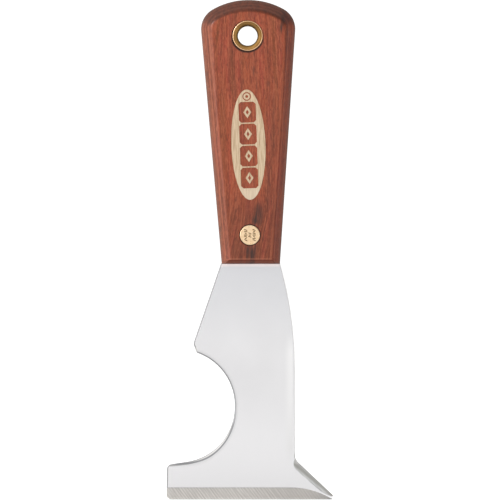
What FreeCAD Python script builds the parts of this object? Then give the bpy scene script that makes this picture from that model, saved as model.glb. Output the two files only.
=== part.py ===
import FreeCAD, Part
import math
import os
import Sketcher

# A painter's multi tool: a one-piece steel blade with a full tang between two rosewood scales,
# held by a brass compression rivet and by the brass eyelet that lines the hang hole.
#
# The tool stands on its scraping edge. +Z runs up the handle to the butt, +X runs from the roller
# notch to the pointed corner, and the ground face of the blade looks along -Y, the front. The
# origin is the centre of the hang hole, in the middle of the tang's thickness. Lengths are in
# millimetres and angles in degrees.

# alias, value, what it measures. A "drop" is how far below the hang hole's centre something is.
DIMENSIONS = [
    # the handle's outline, which the tang and both scales share
    ("butt_rise", 13.7, "hang hole to the top of the butt"),
    ("butt_x", 0.3, "middle of the butt's crown"),
    ("crown_radius", 27.5, "gentle curve across the butt"),
    ("corner_radius", 8.7, "rounded corners of the butt"),
    ("heel_drop", 86.9, "blade end of the handle"),
    ("heel_left", -9.9, "left corner of the handle's blade end"),
    ("heel_right", 12.3, "right corner of the handle's blade end"),
    ("left_angle", 95.05, "handle's left side, from level"),
    ("right_angle", 86.25, "handle's right side, from level"),
    # the blade
    ("tang_half", 1.0, "half of the steel's thickness"),
    ("blade_left", -31.0, "left end of the scraping edge"),
    ("blade_right", 18.1, "straight right-hand side of the blade"),
    ("edge_drop", 176.6, "scraping edge"),
    ("shoulder_drop", 86.7, "top of the shoulders"),
    ("shoulder_left", -10.1, "top of the left shoulder"),
    ("shoulder_right", 12.45, "top of the right shoulder"),
    ("shoulder_radius", 148.0, "convex right shoulder"),
    ("horn_x", -20.65, "outer corner of the horn"),
    ("horn_drop", 117.3, "outer corner of the horn"),
    ("horn_foot_x", -19.4, "corner of the horn on the notch"),
    ("horn_round", 2.0, "rounding of the horn's outer corner"),
    ("horn_foot_round", 0.9, "rounding of the horn's corner on the notch"),
    ("notch_x", -26.4, "centre of the roller notch"),
    ("notch_drop", 141.1, "centre of the roller notch"),
    ("notch_radius", 21.55, "roller notch"),
    ("arm_left", -30.7, "left end of the arm's top edge"),
    ("arm_slope", 8.5, "arm's top edge, from level"),
    ("arm_round", 1.8, "rounding of the arm's upper corner"),
    ("arm_foot_round", 1.5, "rounding of the arm's lower corner"),
    ("point_x", 32.55, "tip of the pointed corner"),
    ("point_drop", 175.1, "top of the point's blunt tip"),
    ("point_foot_x", 32.05, "right end of the scraping edge"),
    ("point_root_drop", 161.45, "where the pointed corner leaves the side"),
    ("point_root_round", 3.7, "hollow curve at the root of the pointed corner"),
    ("side_round", 0.5, "polished front edge of the blade's sides"),
    # the ground bevels on the blade's front face
    ("cut_margin", 3.0, "how far each cut starts outside the steel or the wood"),
    ("edge_bevel_height", 4.5, "bevel above the scraping edge"),
    ("edge_bevel_pitch", 68.2, "bevel of the scraping edge, from square to the face"),
    ("edge_bevel_turn_x", 16.1, "where this bevel curves down to the tip"),
    ("edge_bevel_turn_radius", 31.3, "curve of this bevel down to the tip"),
    ("edge_bevel_reach", 6.0, "depth of the cut below the bevel's upper line"),
    ("point_bevel_x", 20.86, "centre of the curved start of the point's bevel"),
    ("point_bevel_drop", 163.05, "centre of the curved start of the point's bevel"),
    ("point_bevel_radius", 3.36, "curved start of the point's bevel"),
    ("point_bevel_pitch", 55.2, "bevel of the pointed corner, from square to the face"),
    ("point_bevel_turn_x", 26.6, "where this bevel narrows to the tip"),
    ("point_bevel_turn_drop", 172.55, "where this bevel narrows to the tip"),
    ("point_bevel_turn_radius", 14.3, "curve of the narrowing bevel"),
    ("point_bevel_reach", 3.0, "width of the cut across the point's bevel"),
    ("notch_bevel_width", 1.1, "scraping bevel round the lower notch"),
    ("notch_bevel_start_drop", 164.55, "where the notch's bevel line starts, left of the arm"),
    ("notch_bevel_pitch", 45.0, "bevel of the notch, from square to the face"),
    ("notch_bevel_reach", 1.8, "width of the cut across the notch's bevel"),
    # the scales
    ("scale_wall", 3.8, "upright side of a scale, from the tang"),
    ("scale_bevel", -45.0, "inward lean of the facets at the butt and at the blade"),
    ("scale_butt_height", 8.0, "scale at the butt, from the tang"),
    ("scale_heel_height", 5.2, "scale at the blade, from the tang"),
    ("facet_height", 5.5, "how far the facets are built up, to above where the face cuts them"),
    ("left_facet", 2.9, "width of the left facet, along the whole handle"),
    ("right_facet", 3.15, "width of the right facet, along the whole handle"),
    ("side_margin", 1.0, "how far the block that has these facets is wider than the handle"),
    ("ridge_round", 2.2, "rounding between the flat face and the facets at its sides and butt"),
    ("heel_round", 0.6, "rounding between the flat face and the facet at the blade"),
    ("wall_round", 0.3, "rounding between the facets and the upright side"),
    # the hang hole's eyelet, and the washer under its rear end
    ("eyelet_bore", 3.75, "radius of the hang hole"),
    ("eyelet_barrel", 4.2, "radius of the barrel, and of the holes that it fills"),
    ("eyelet_flange", 5.75, "radius of the front flange and of the washer"),
    ("eyelet_well", 6.05, "radius of the wells that they sit in"),
    ("eyelet_well_x", -0.15, "the wells, drilled a little off the eyelet's centre"),
    ("eyelet_well_drop", 0.17, "the wells, drilled a little off the eyelet's centre"),
    ("eyelet_seat", 6.4, "front flange's seat, from the tang"),
    ("eyelet_stand", 1.7, "front flange above its seat"),
    ("eyelet_bead", 0.27, "radius of the bead rolled round the front flange"),
    ("eyelet_bell", 1.65, "curve of the bell mouth inside the bead"),
    ("eyelet_bell_width", 1.3, "bell mouth, from the bore outwards"),
    ("eyelet_bell_depth", 1.0, "bell mouth, from the foot of the bead inwards"),
    ("eyelet_rim", 0.3, "radius of the rolled rear end's rim"),
    ("eyelet_flare", 0.7, "flare under the front flange"),
    ("washer_seat", 6.5, "washer's seat, from the tang"),
    ("washer_thickness", 0.4, "washer"),
    ("curl_radius", 5.05, "radius of the barrel's rolled rear end"),
    ("curl_height", 0.55, "rolled rear end above the washer"),
    ("curl_bell", 0.9, "radius of the rear bell mouth"),
    # the compression rivet
    ("rivet_x", 0.85, "rivet"),
    ("rivet_drop", 75.9, "rivet"),
    ("rivet_head", 3.87, "radius of both heads"),
    ("rivet_well", 4.1, "radius of the wells for the heads"),
    ("rivet_seat", 4.15, "seats of the heads, from the tang"),
    ("rivet_head_height", 1.25, "thickness of the heads"),
    ("rivet_head_round", 0.3, "rounded rim of the heads"),
    ("rivet_shank", 2.4, "radius of the socket's shank"),
    ("rivet_shank_gap", 0.3, "gap between the shank's end and the other head"),
    ("rivet_pin", 1.6, "radius of the pin, and of the socket that it fills"),
    ("rivet_pin_end", 2.6, "end of the pin, in front of the tang's middle"),
    # the oval mark
    ("mark_x", 0.27, "middle of the mark"),
    ("mark_drop", 41.5, "middle of the mark"),
    ("mark_half_length", 21.0, "mark along the handle"),
    ("mark_half_width", 6.5, "mark across the handle"),
    ("mark_angle", 92.0, "mark's long axis, from level"),
    ("mark_thickness", 0.1, "foil"),
]
SIZE = {alias: value for alias, value, note in DIMENSIONS}

START, END, CENTRE = 1, 2, 3  # the named points of a line or an arc
ORIGIN = (-1, 1)  # a sketch's own origin, as a geometry and its point
LEVEL = FreeCAD.Vector(0, 0, 1)  # the normal of a sketch
NEAR = 0.02  # mm, how close an edge is to the place that picks it out
BY_CORNER = 0.2  # mm, the same about a corner of the outline
ALONG = 0.99  # the least cosine at which an edge runs along an axis
SLANTED = 0.5  # the least share of up or down in an edge that isn't level
WALL, FACET, FACE = (0, 0.05), (0.6, 0.8), (0.99, 1)  # the lean of a scale's faces
NO_CHANGE = 1e-6  # mm3, the most volume that a feature without effect may change

doc = FreeCAD.newDocument("painters_multi_tool")


def add_sheet():
    """The spreadsheet of driving dimensions, one alias to a row."""
    sheet = doc.addObject("Spreadsheet::Sheet", "dims")
    for row, (alias, value, note) in enumerate(DIMENSIONS, start=1):
        sheet.set(f"A{row}", note)
        sheet.set(f"B{row}", str(value))
        sheet.setAlias(f"B{row}", alias)
    doc.recompute()


def number(*terms):
    """The sum of sheet values such as "butt_rise" and "-crown_radius"."""
    return sum(-SIZE[term[1:]] if term[0] == "-" else SIZE[term] for term in terms)


def formula(*terms):
    """The same sum as an expression that follows the sheet."""
    signed = [f"- dims.{term[1:]}" if term[0] == "-" else f"+ dims.{term}" for term in terms]
    return "0 " + " ".join(signed)


def outwards(front):
    """A function that turns terms into a distance to the front, for the front or the rear scale."""
    return (lambda *terms: terms) if front else (lambda *terms: flipped(terms))


def flipped(terms):
    """The same sum with every sign turned round."""
    return tuple(term[1:] if term[0] == "-" else "-" + term for term in terms)


# ---------------------------------------------------------------------------------------------
# Sketches


def new_body(name):
    """A body that is named after its sub-part."""
    body = doc.addObject("PartDesign::Body", name)
    body.Label = name
    return body


def new_sketch(body, name, role, *offset):
    """A sketch in one of the body's own planes, or that far along the plane's normal.

    The normal of XZ_Plane looks to the front, -Y, and that of YZ_Plane looks along +X.
    """
    sketch = body.newObject("Sketcher::SketchObject", name)
    plane = next(feature for feature in body.Origin.OriginFeatures if feature.Role == role)
    sketch.AttachmentSupport = (plane, [""])
    sketch.MapMode = "FlatFace"
    if offset:
        sketch.setExpression("AttachmentOffset.Base.z", formula(*offset))
    return sketch


def add_line(sketch, start, end):
    """A line between two (across, up) points."""
    return sketch.addGeometry(Part.LineSegment(FreeCAD.Vector(*start), FreeCAD.Vector(*end)))


def add_arc(sketch, centre, radius, start_angle, end_angle):
    """An arc that runs counter-clockwise between two angles."""
    circle = Part.Circle(FreeCAD.Vector(*centre), LEVEL, radius)
    angles = (math.radians(start_angle), math.radians(end_angle))
    return sketch.addGeometry(Part.ArcOfCircle(circle, *angles))


def bind(sketch, kind, *places, to):
    """A dimension between the places that follows a sum of sheet values."""
    value, text = number(*to), formula(*to)
    if kind == "Angle":
        value, text = math.radians(value), f"({text}) * 1 deg"
    index = sketch.addConstraint(Sketcher.Constraint(kind, *places, value))
    sketch.setExpression(f"Constraints[{index}]", text)


def pin(sketch, geometry, end, across=(), up=()):
    """Holds a point of the sketch at sheet values across and up from the origin."""
    if across:
        bind(sketch, "DistanceX", *ORIGIN, geometry, end, to=across)
    if up:
        bind(sketch, "DistanceY", *ORIGIN, geometry, end, to=up)


def relate(sketch, kind, *places):
    """A constraint with no dimension, such as Tangent, between the places."""
    sketch.addConstraint(Sketcher.Constraint(kind, *places))


def add_circle(sketch, radius, across=(), up=()):
    """A circle of a sheet radius about the origin, or about a place from the sheet."""
    centre = FreeCAD.Vector(number(*across), number(*up))
    circle = sketch.addGeometry(Part.Circle(centre, LEVEL, SIZE[radius]))
    bind(sketch, "Radius", circle, to=(radius, ))
    if across:
        pin(sketch, circle, CENTRE, across, up)
    else:
        relate(sketch, "Coincident", circle, CENTRE, *ORIGIN)


def add_bend(sketch, start, end, radius, side):
    """An arc between two corners that turns to one side on its way, as (arc, first, last)."""
    chord = end - start
    square = FreeCAD.Vector(-chord.y, chord.x).normalize()
    if side == "right":
        square = -square
    rise = math.sqrt(SIZE[radius] ** 2 - (chord.Length / 2) ** 2)
    centre = (start + end) / 2 + square * rise
    first, last = (start, end) if side == "left" else (end, start)
    angles = [math.degrees(math.atan2(spot.y - centre.y, spot.x - centre.x)) for spot in (first, last)]
    if angles[1] < angles[0]:
        angles[1] += 360
    arc = add_arc(sketch, centre, SIZE[radius], *angles)
    bind(sketch, "Radius", arc, to=(radius, ))
    return (arc, START, END) if side == "left" else (arc, END, START)


def add_profile(sketch, *corners):
    """A closed outline whose corners are all pinned to the sheet, as (across terms, up terms).

    A third item, (radius, side), bends the edge that leaves the corner into an arc.
    """
    spots = [FreeCAD.Vector(number(*corner[0]), number(*corner[1])) for corner in corners]
    edges = []
    for index, corner in enumerate(corners):
        start, end = spots[index], spots[(index + 1) % len(spots)]
        if len(corner) == 3:
            edges.append(add_bend(sketch, start, end, *corner[2]))
        else:
            edges.append((add_line(sketch, start, end), START, END))
    for index, corner in enumerate(corners):
        edge, first, last = edges[index]
        before = edges[index - 1]
        relate(sketch, "Coincident", before[0], before[2], edge, first)
        for kind, terms in (("DistanceX", corner[0]), ("DistanceY", corner[1])):
            if terms:
                bind(sketch, kind, *ORIGIN, edge, first, to=terms)
            else:
                axis = -2 if kind == "DistanceX" else -1
                relate(sketch, "PointOnObject", edge, first, axis)


# ---------------------------------------------------------------------------------------------
# Features


def checked(feature, effect):
    """The feature, recomputed, once it is sure to have added or removed material as it should."""
    before = feature.BaseFeature.Shape.Volume if feature.BaseFeature else 0.0
    doc.recompute()
    change = feature.Shape.Volume - before
    if effect == "adds" and change < NO_CHANGE or effect == "cuts" and change > -NO_CHANGE:
        raise ValueError(f"{feature.Label} should be one that {effect}, but its volume is {change:g}")
    return feature


def add_pad(body, name, sketch, *length, both_ways=False, backwards=False, taper=()):
    """A pad of the sketch, towards the front unless it goes backwards."""
    pad = body.newObject("PartDesign::Pad", name)
    pad.Profile = sketch
    pad.setExpression("Length", formula(*length))
    pad.Midplane = both_ways
    pad.Reversed = backwards
    if taper:
        pad.setExpression("TaperAngle", formula(*taper))
    return checked(pad, "adds")


def add_pocket(body, name, sketch, *length, forwards=False):
    """A pocket to the back, or to the front. Without a length it goes through both ways."""
    pocket = body.newObject("PartDesign::Pocket", name)
    pocket.Profile = sketch
    if length:
        pocket.setExpression("Length", formula(*length))
        pocket.Reversed = forwards
    else:
        pocket.Type = "ThroughAll"
        pocket.Midplane = True
    return checked(pocket, "cuts")


def add_turning(body, name, sketch):
    """The sketch turned all the way round the body's own Y axis."""
    turning = body.newObject("PartDesign::Revolution", name)
    turning.Profile = sketch
    turning.ReferenceAxis = (sketch, ["H_Axis"])
    turning.Angle = 360
    return checked(turning, "adds")


def add_rounding(body, name, kind, edges, *size):
    """Rounds or chamfers the named edges of the body as it stands. Kind is Fillet or Chamfer."""
    base = body.Tip
    rounding = body.newObject("PartDesign::" + kind, name)
    rounding.Base = (base, edges)
    rounding.setExpression("Radius" if kind == "Fillet" else "Size", formula(*size))
    return checked(rounding, "rounds")


def add_grinding(body, name, profile, spine):
    """Cuts the body with the profile swept along the spine, as a grinding wheel would."""
    grinding = body.newObject("PartDesign::SubtractivePipe", name)
    grinding.Profile = profile
    grinding.Spine = (spine, [])
    return checked(grinding, "cuts")


def edges_where(body, test):
    """The names of the body's edges whose middle and direction at the middle pass the test."""
    names = []
    for index, edge in enumerate(body.Tip.Shape.Edges, start=1):
        halfway = (edge.FirstParameter + edge.LastParameter) / 2
        if test(edge.valueAt(halfway), edge.tangentAt(halfway)):
            names.append(f"Edge{index}")
    return names


def edges_between(body, *bands):
    """The names of the edges that join a face in each of two bands of lean. A face's lean is how
    much of its direction is to the front or the back, from 0 for an upright wall to 1."""
    shape = body.Tip.Shape
    names = []
    for index, edge in enumerate(shape.Edges, start=1):
        middle = edge.valueAt((edge.FirstParameter + edge.LastParameter) / 2)
        leans = sorted(
            abs(face.normalAt(*face.Surface.parameter(middle)).y)
            for face in shape.ancestorsOfType(edge, Part.Face)
        )
        if len(leans) == 2 and all(low <= lean <= high for lean, (low, high) in zip(leans, bands)):
            names.append(f"Edge{index}")
    return names


def upright_edges(body, x, z):
    """The edges that run front to back at a corner of the outline."""

    def at_corner(middle, direction):
        return abs(direction.y) > ALONG and math.hypot(middle.x - x, middle.z - z) < BY_CORNER

    return edges_where(body, at_corner)


# ---------------------------------------------------------------------------------------------
# The handle's outline, and the sub-parts


def draw_handle_outline(body, name, *offset):
    """Straight leaning sides, a level end at the blade, and a crowned butt with round corners."""
    sketch = new_sketch(body, name, "XZ_Plane", *offset)
    heel = -SIZE["heel_drop"]
    corner = SIZE["corner_radius"]
    left_top = SIZE["heel_left"] + SIZE["heel_drop"] / math.tan(math.radians(SIZE["left_angle"]))
    right_top = SIZE["heel_right"] + SIZE["heel_drop"] / math.tan(math.radians(SIZE["right_angle"]))
    left = add_line(sketch, (SIZE["heel_left"], heel), (left_top, 0))
    right = add_line(sketch, (SIZE["heel_right"], heel), (right_top, 0))
    end = add_line(sketch, (SIZE["heel_left"], heel), (SIZE["heel_right"], heel))
    left_corner = add_arc(sketch, (left_top + corner, 0), corner, 115, 180)
    right_corner = add_arc(sketch, (right_top - corner, 0), corner, 0, 65)
    crown_centre = (SIZE["butt_x"], number("butt_rise", "-crown_radius"))
    crown = add_arc(sketch, crown_centre, SIZE["crown_radius"], 65, 115)
    for side, corner_x, angle in ((left, "heel_left", "left_angle"), (right, "heel_right", "right_angle")):
        pin(sketch, side, START, (corner_x, ), ("-heel_drop", ))
        bind(sketch, "Angle", side, to=(angle, ))
    relate(sketch, "Coincident", end, START, left, START)
    relate(sketch, "Coincident", end, END, right, START)
    relate(sketch, "Tangent", left, END, left_corner, END)
    relate(sketch, "Tangent", right, END, right_corner, START)
    relate(sketch, "Tangent", left_corner, START, crown, END)
    relate(sketch, "Tangent", right_corner, END, crown, START)
    bind(sketch, "Radius", left_corner, to=("corner_radius", ))
    bind(sketch, "Radius", right_corner, to=("corner_radius", ))
    bind(sketch, "Radius", crown, to=("crown_radius", ))
    pin(sketch, crown, CENTRE, ("butt_x", ), ("butt_rise", "-crown_radius"))
    return sketch


def draw_working_end(body):
    """The blade's outline below the handle, clockwise from the top of its left shoulder."""
    sketch = new_sketch(body, "working_end_outline", "XZ_Plane")
    notch_centre = (SIZE["notch_x"], -SIZE["notch_drop"])
    foot_rise = math.sqrt(SIZE["notch_radius"] ** 2 - number("horn_foot_x", "-notch_x") ** 2)
    foot_angle = math.degrees(math.asin(foot_rise / SIZE["notch_radius"]))
    arm_end_angle = SIZE["arm_slope"] - 90
    arm_lean = math.radians(SIZE["arm_slope"])
    arm_end = (SIZE["notch_x"] + SIZE["notch_radius"] * math.sin(arm_lean),
               -SIZE["notch_drop"] - SIZE["notch_radius"] * math.cos(arm_lean))
    arm_fall = (arm_end[0] - SIZE["arm_left"]) * math.tan(arm_lean)
    arm_corner = (SIZE["arm_left"], arm_end[1] - arm_fall)
    shoulder_reach = number("blade_right", "-shoulder_right")
    shoulder_angle = math.degrees(math.acos(1 - shoulder_reach / SIZE["shoulder_radius"]))
    side_top = -SIZE["shoulder_drop"] - SIZE["shoulder_radius"] * math.sin(math.radians(shoulder_angle))

    shoulder_left = (SIZE["shoulder_left"], -SIZE["shoulder_drop"])
    shoulder_right = (SIZE["shoulder_right"], -SIZE["shoulder_drop"])
    horn = (SIZE["horn_x"], -SIZE["horn_drop"])
    horn_foot = (SIZE["horn_foot_x"], notch_centre[1] + foot_rise)
    edge_left = (SIZE["blade_left"], -SIZE["edge_drop"])
    edge_right = (SIZE["point_foot_x"], -SIZE["edge_drop"])
    tip = (SIZE["point_x"], -SIZE["point_drop"])
    root = (SIZE["blade_right"], -SIZE["point_root_drop"])

    left_shoulder = add_line(sketch, shoulder_left, horn)
    horn_end = add_line(sketch, horn, horn_foot)
    notch = add_arc(sketch, notch_centre, SIZE["notch_radius"], arm_end_angle, foot_angle)
    arm_top = add_line(sketch, arm_corner, arm_end)
    arm_side = add_line(sketch, arm_corner, edge_left)
    edge = add_line(sketch, edge_left, edge_right)
    blunt_tip = add_line(sketch, edge_right, tip)
    point_side = add_line(sketch, tip, root)
    right_side = add_line(sketch, root, (SIZE["blade_right"], side_top))
    shoulder_centre = (number("blade_right", "-shoulder_radius"), side_top)
    right_shoulder = add_arc(sketch, shoulder_centre, SIZE["shoulder_radius"], 0, shoulder_angle)
    top = add_line(sketch, shoulder_right, shoulder_left)

    relate(sketch, "Coincident", left_shoulder, END, horn_end, START)
    relate(sketch, "Coincident", horn_end, END, notch, END)
    relate(sketch, "Tangent", notch, START, arm_top, END)
    relate(sketch, "Coincident", arm_top, START, arm_side, START)
    relate(sketch, "Coincident", arm_side, END, edge, START)
    relate(sketch, "Coincident", edge, END, blunt_tip, START)
    relate(sketch, "Coincident", blunt_tip, END, point_side, START)
    relate(sketch, "Coincident", point_side, END, right_side, START)
    relate(sketch, "Tangent", right_side, END, right_shoulder, START)
    relate(sketch, "Coincident", right_shoulder, END, top, START)
    relate(sketch, "Coincident", top, END, left_shoulder, START)
    relate(sketch, "Vertical", right_side)
    pin(sketch, left_shoulder, START, ("shoulder_left", ), ("-shoulder_drop", ))
    pin(sketch, horn_end, START, ("horn_x", ), ("-horn_drop", ))
    pin(sketch, horn_end, END, ("horn_foot_x", ))
    pin(sketch, notch, CENTRE, ("notch_x", ), ("-notch_drop", ))
    bind(sketch, "Radius", notch, to=("notch_radius", ))
    pin(sketch, arm_top, START, ("arm_left", ))
    bind(sketch, "Angle", arm_top, to=("arm_slope", ))
    pin(sketch, edge, START, ("blade_left", ), ("-edge_drop", ))
    pin(sketch, edge, END, ("point_foot_x", ), ("-edge_drop", ))
    pin(sketch, point_side, START, ("point_x", ), ("-point_drop", ))
    pin(sketch, point_side, END, ("blade_right", ), ("-point_root_drop", ))
    pin(sketch, top, START, ("shoulder_right", ), ("-shoulder_drop", ))
    bind(sketch, "Radius", right_shoulder, to=("shoulder_radius", ))
    corners = {
        "horn": (horn, "horn_round"),
        "horn_foot": (horn_foot, "horn_foot_round"),
        "arm": (arm_corner, "arm_round"),
        "arm_foot": (edge_left, "arm_foot_round"),
        "point_root": (root, "point_root_round"),
    }
    return sketch, corners


def draw_wedge(body, name, x_terms, face_z_terms, pitch, reach, rises):
    """The section of a bevel cut, in a plane across the blade: from a line on the front face it
    goes deeper as it rises or falls away from the line."""
    sketch = new_sketch(body, name, "YZ_Plane", *x_terms)
    way = 1 if rises else -1
    face_y, face_z = -SIZE["tang_half"], number(*face_z_terms)
    far_z = face_z + way * SIZE[reach]
    deep_y = face_y + SIZE[reach] / math.tan(math.radians(SIZE[pitch]))
    open_y = face_y - SIZE["cut_margin"]
    bevel = add_line(sketch, (face_y, face_z), (deep_y, far_z))
    far = add_line(sketch, (deep_y, far_z), (open_y, far_z))
    outer = add_line(sketch, (open_y, far_z), (open_y, face_z))
    near = add_line(sketch, (open_y, face_z), (face_y, face_z))
    sides = (bevel, far, outer, near)
    for index, side in enumerate(sides):
        relate(sketch, "Coincident", sides[index - 1], END, side, START)
    relate(sketch, "Horizontal", far)
    relate(sketch, "Horizontal", near)
    relate(sketch, "Vertical", outer)
    pin(sketch, bevel, START, ("-tang_half", ), face_z_terms)
    bind(sketch, "Angle", bevel, to=(pitch, ) if rises else ("-" + pitch, ))
    bind(sketch, "DistanceX", near, START, near, END, to=("cut_margin", ))
    bind(sketch, "Distance", outer, to=(reach, ))
    return sketch


def touch(centre, radius, spot, way):
    """Where a line from the spot touches a circle, as an angle and a point. Way is the side."""
    reach = spot - centre
    angle = math.atan2(reach.y, reach.x) + way * math.acos(radius / reach.Length)
    return math.degrees(angle), centre + FreeCAD.Vector(math.cos(angle), math.sin(angle)) * radius


def grind_scraping_edge(body):
    """The chisel bevel along the bottom, which curves down to the tip of the pointed corner."""
    rise = ("-edge_drop", "edge_bevel_height")
    start = ("blade_left", "-cut_margin")
    profile = draw_wedge(body, "edge_bevel_section", start, rise, "edge_bevel_pitch",
                         "edge_bevel_reach", rises=False)
    spine = new_sketch(body, "edge_bevel_path", "XZ_Plane", "tang_half")
    turn_x, level, radius = SIZE["edge_bevel_turn_x"], number(*rise), SIZE["edge_bevel_turn_radius"]
    end_x = number("point_x", "cut_margin")
    end_angle = math.degrees(math.acos((end_x - turn_x) / radius))
    straight = add_line(spine, (number(*start), level), (turn_x, level))
    turn = add_arc(spine, (turn_x, level - radius), radius, end_angle, 90)
    relate(spine, "Tangent", straight, END, turn, END)
    relate(spine, "Horizontal", straight)
    pin(spine, straight, START, start, rise)
    pin(spine, straight, END, ("edge_bevel_turn_x", ))
    bind(spine, "Radius", turn, to=("edge_bevel_turn_radius", ))
    pin(spine, turn, START, ("point_x", "cut_margin"))
    add_grinding(body, "edge_bevel", profile, spine)


def grind_point(body):
    """The bevel of the pointed corner: a curved run-in at its root, a straight stretch, and a long
    curve that narrows to the tip."""
    profile = draw_wedge(body, "point_bevel_section", ("point_bevel_x", ),
                         ("-point_bevel_drop", "point_bevel_radius"), "point_bevel_pitch",
                         "point_bevel_reach", rises=False)
    spine = new_sketch(body, "point_bevel_path", "XZ_Plane", "tang_half")
    centre = FreeCAD.Vector(SIZE["point_bevel_x"], -SIZE["point_bevel_drop"])
    radius = SIZE["point_bevel_radius"]
    turn = FreeCAD.Vector(SIZE["point_bevel_turn_x"], -SIZE["point_bevel_turn_drop"])
    turn_radius = SIZE["point_bevel_turn_radius"]
    leave_angle, leave_point = touch(centre, radius, turn, way=-1)
    run_in = add_arc(spine, centre, radius, 90, leave_angle + 360)
    straight = add_line(spine, leave_point, turn)
    turn_centre = turn - (leave_point - centre) * (turn_radius / radius)
    narrowing = add_arc(spine, turn_centre, turn_radius, leave_angle + 360, 268)
    relate(spine, "Vertical", run_in, START, run_in, CENTRE)
    relate(spine, "Tangent", run_in, END, straight, START)
    relate(spine, "Tangent", straight, END, narrowing, START)
    pin(spine, run_in, CENTRE, ("point_bevel_x", ), ("-point_bevel_drop", ))
    bind(spine, "Radius", run_in, to=("point_bevel_radius", ))
    pin(spine, straight, END, ("point_bevel_turn_x", ), ("-point_bevel_turn_drop", ))
    bind(spine, "Radius", narrowing, to=("point_bevel_turn_radius", ))
    pin(spine, narrowing, END, ("point_x", "cut_margin"))
    add_grinding(body, "point_bevel", profile, spine)


def grind_notch(body):
    """The scraping bevel along the arm's top and round the lower half of the notch. Its circle is
    the notch's, moved down, so that the bevel fades out where the notch turns upright."""
    start = ("blade_left", "-cut_margin")
    profile = draw_wedge(body, "notch_bevel_section", start, ("-notch_bevel_start_drop", ),
                         "notch_bevel_pitch", "notch_bevel_reach", rises=True)
    spine = new_sketch(body, "notch_bevel_path", "XZ_Plane", "tang_half")
    centre = FreeCAD.Vector(SIZE["notch_x"], number("-notch_drop", "-notch_bevel_width"))
    radius = SIZE["notch_radius"]
    outside = FreeCAD.Vector(number(*start), -SIZE["notch_bevel_start_drop"])
    touch_angle, touch_point = touch(centre, radius, outside, way=1)
    end_angle = math.degrees(math.asin(number("cut_margin", "notch_bevel_width") / radius))
    straight = add_line(spine, outside, touch_point)
    round_notch = add_arc(spine, centre, radius, touch_angle, end_angle)
    relate(spine, "Tangent", straight, END, round_notch, START)
    pin(spine, straight, START, start, ("-notch_bevel_start_drop", ))
    pin(spine, round_notch, CENTRE, ("notch_x", ), ("-notch_drop", "-notch_bevel_width"))
    bind(spine, "Radius", round_notch, to=("notch_radius", ))
    pin(spine, round_notch, END, up=("-notch_drop", "cut_margin"))
    add_grinding(body, "notch_bevel", profile, spine)


def make_blade():
    """The steel: the working end, and the full tang that shows all round the handle."""
    body = new_body("blade")
    outline, corners = draw_working_end(body)
    add_pad(body, "working_end", outline, "tang_half", "tang_half", both_ways=True)
    for name, (corner, radius) in corners.items():
        add_rounding(body, name + "_corner", "Fillet", upright_edges(body, *corner), radius)

    def on_front_side(middle, direction):
        """On the front face's long edges: the left shoulder, the right shoulder or the right side."""
        in_front = abs(middle.y + SIZE["tang_half"]) < NEAR
        left = middle.x < 0 and middle.z > -SIZE["horn_drop"] and abs(direction.z) > SLANTED
        right = middle.x > SIZE["shoulder_right"] and middle.z > -SIZE["point_root_drop"]
        return in_front and (left or right)

    add_rounding(body, "side_edges", "Fillet", edges_where(body, on_front_side), "side_round")
    tang = draw_handle_outline(body, "tang_outline")
    add_pad(body, "tang", tang, "tang_half", "tang_half", both_ways=True)
    holes = new_sketch(body, "tang_holes_outline", "XZ_Plane")
    add_circle(holes, "eyelet_barrel")
    add_circle(holes, "rivet_shank", ("rivet_x", ), ("-rivet_drop", ))
    add_pocket(body, "tang_holes", holes)
    grind_scraping_edge(body)
    grind_point(body)
    grind_notch(body)
    return body


def face_height(z):
    """How far a scale's face stands from the tang at a height."""
    share = (z + SIZE["heel_drop"]) / number("butt_rise", "heel_drop")
    return SIZE["scale_heel_height"] + share * number("scale_butt_height", "-scale_heel_height")


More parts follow.
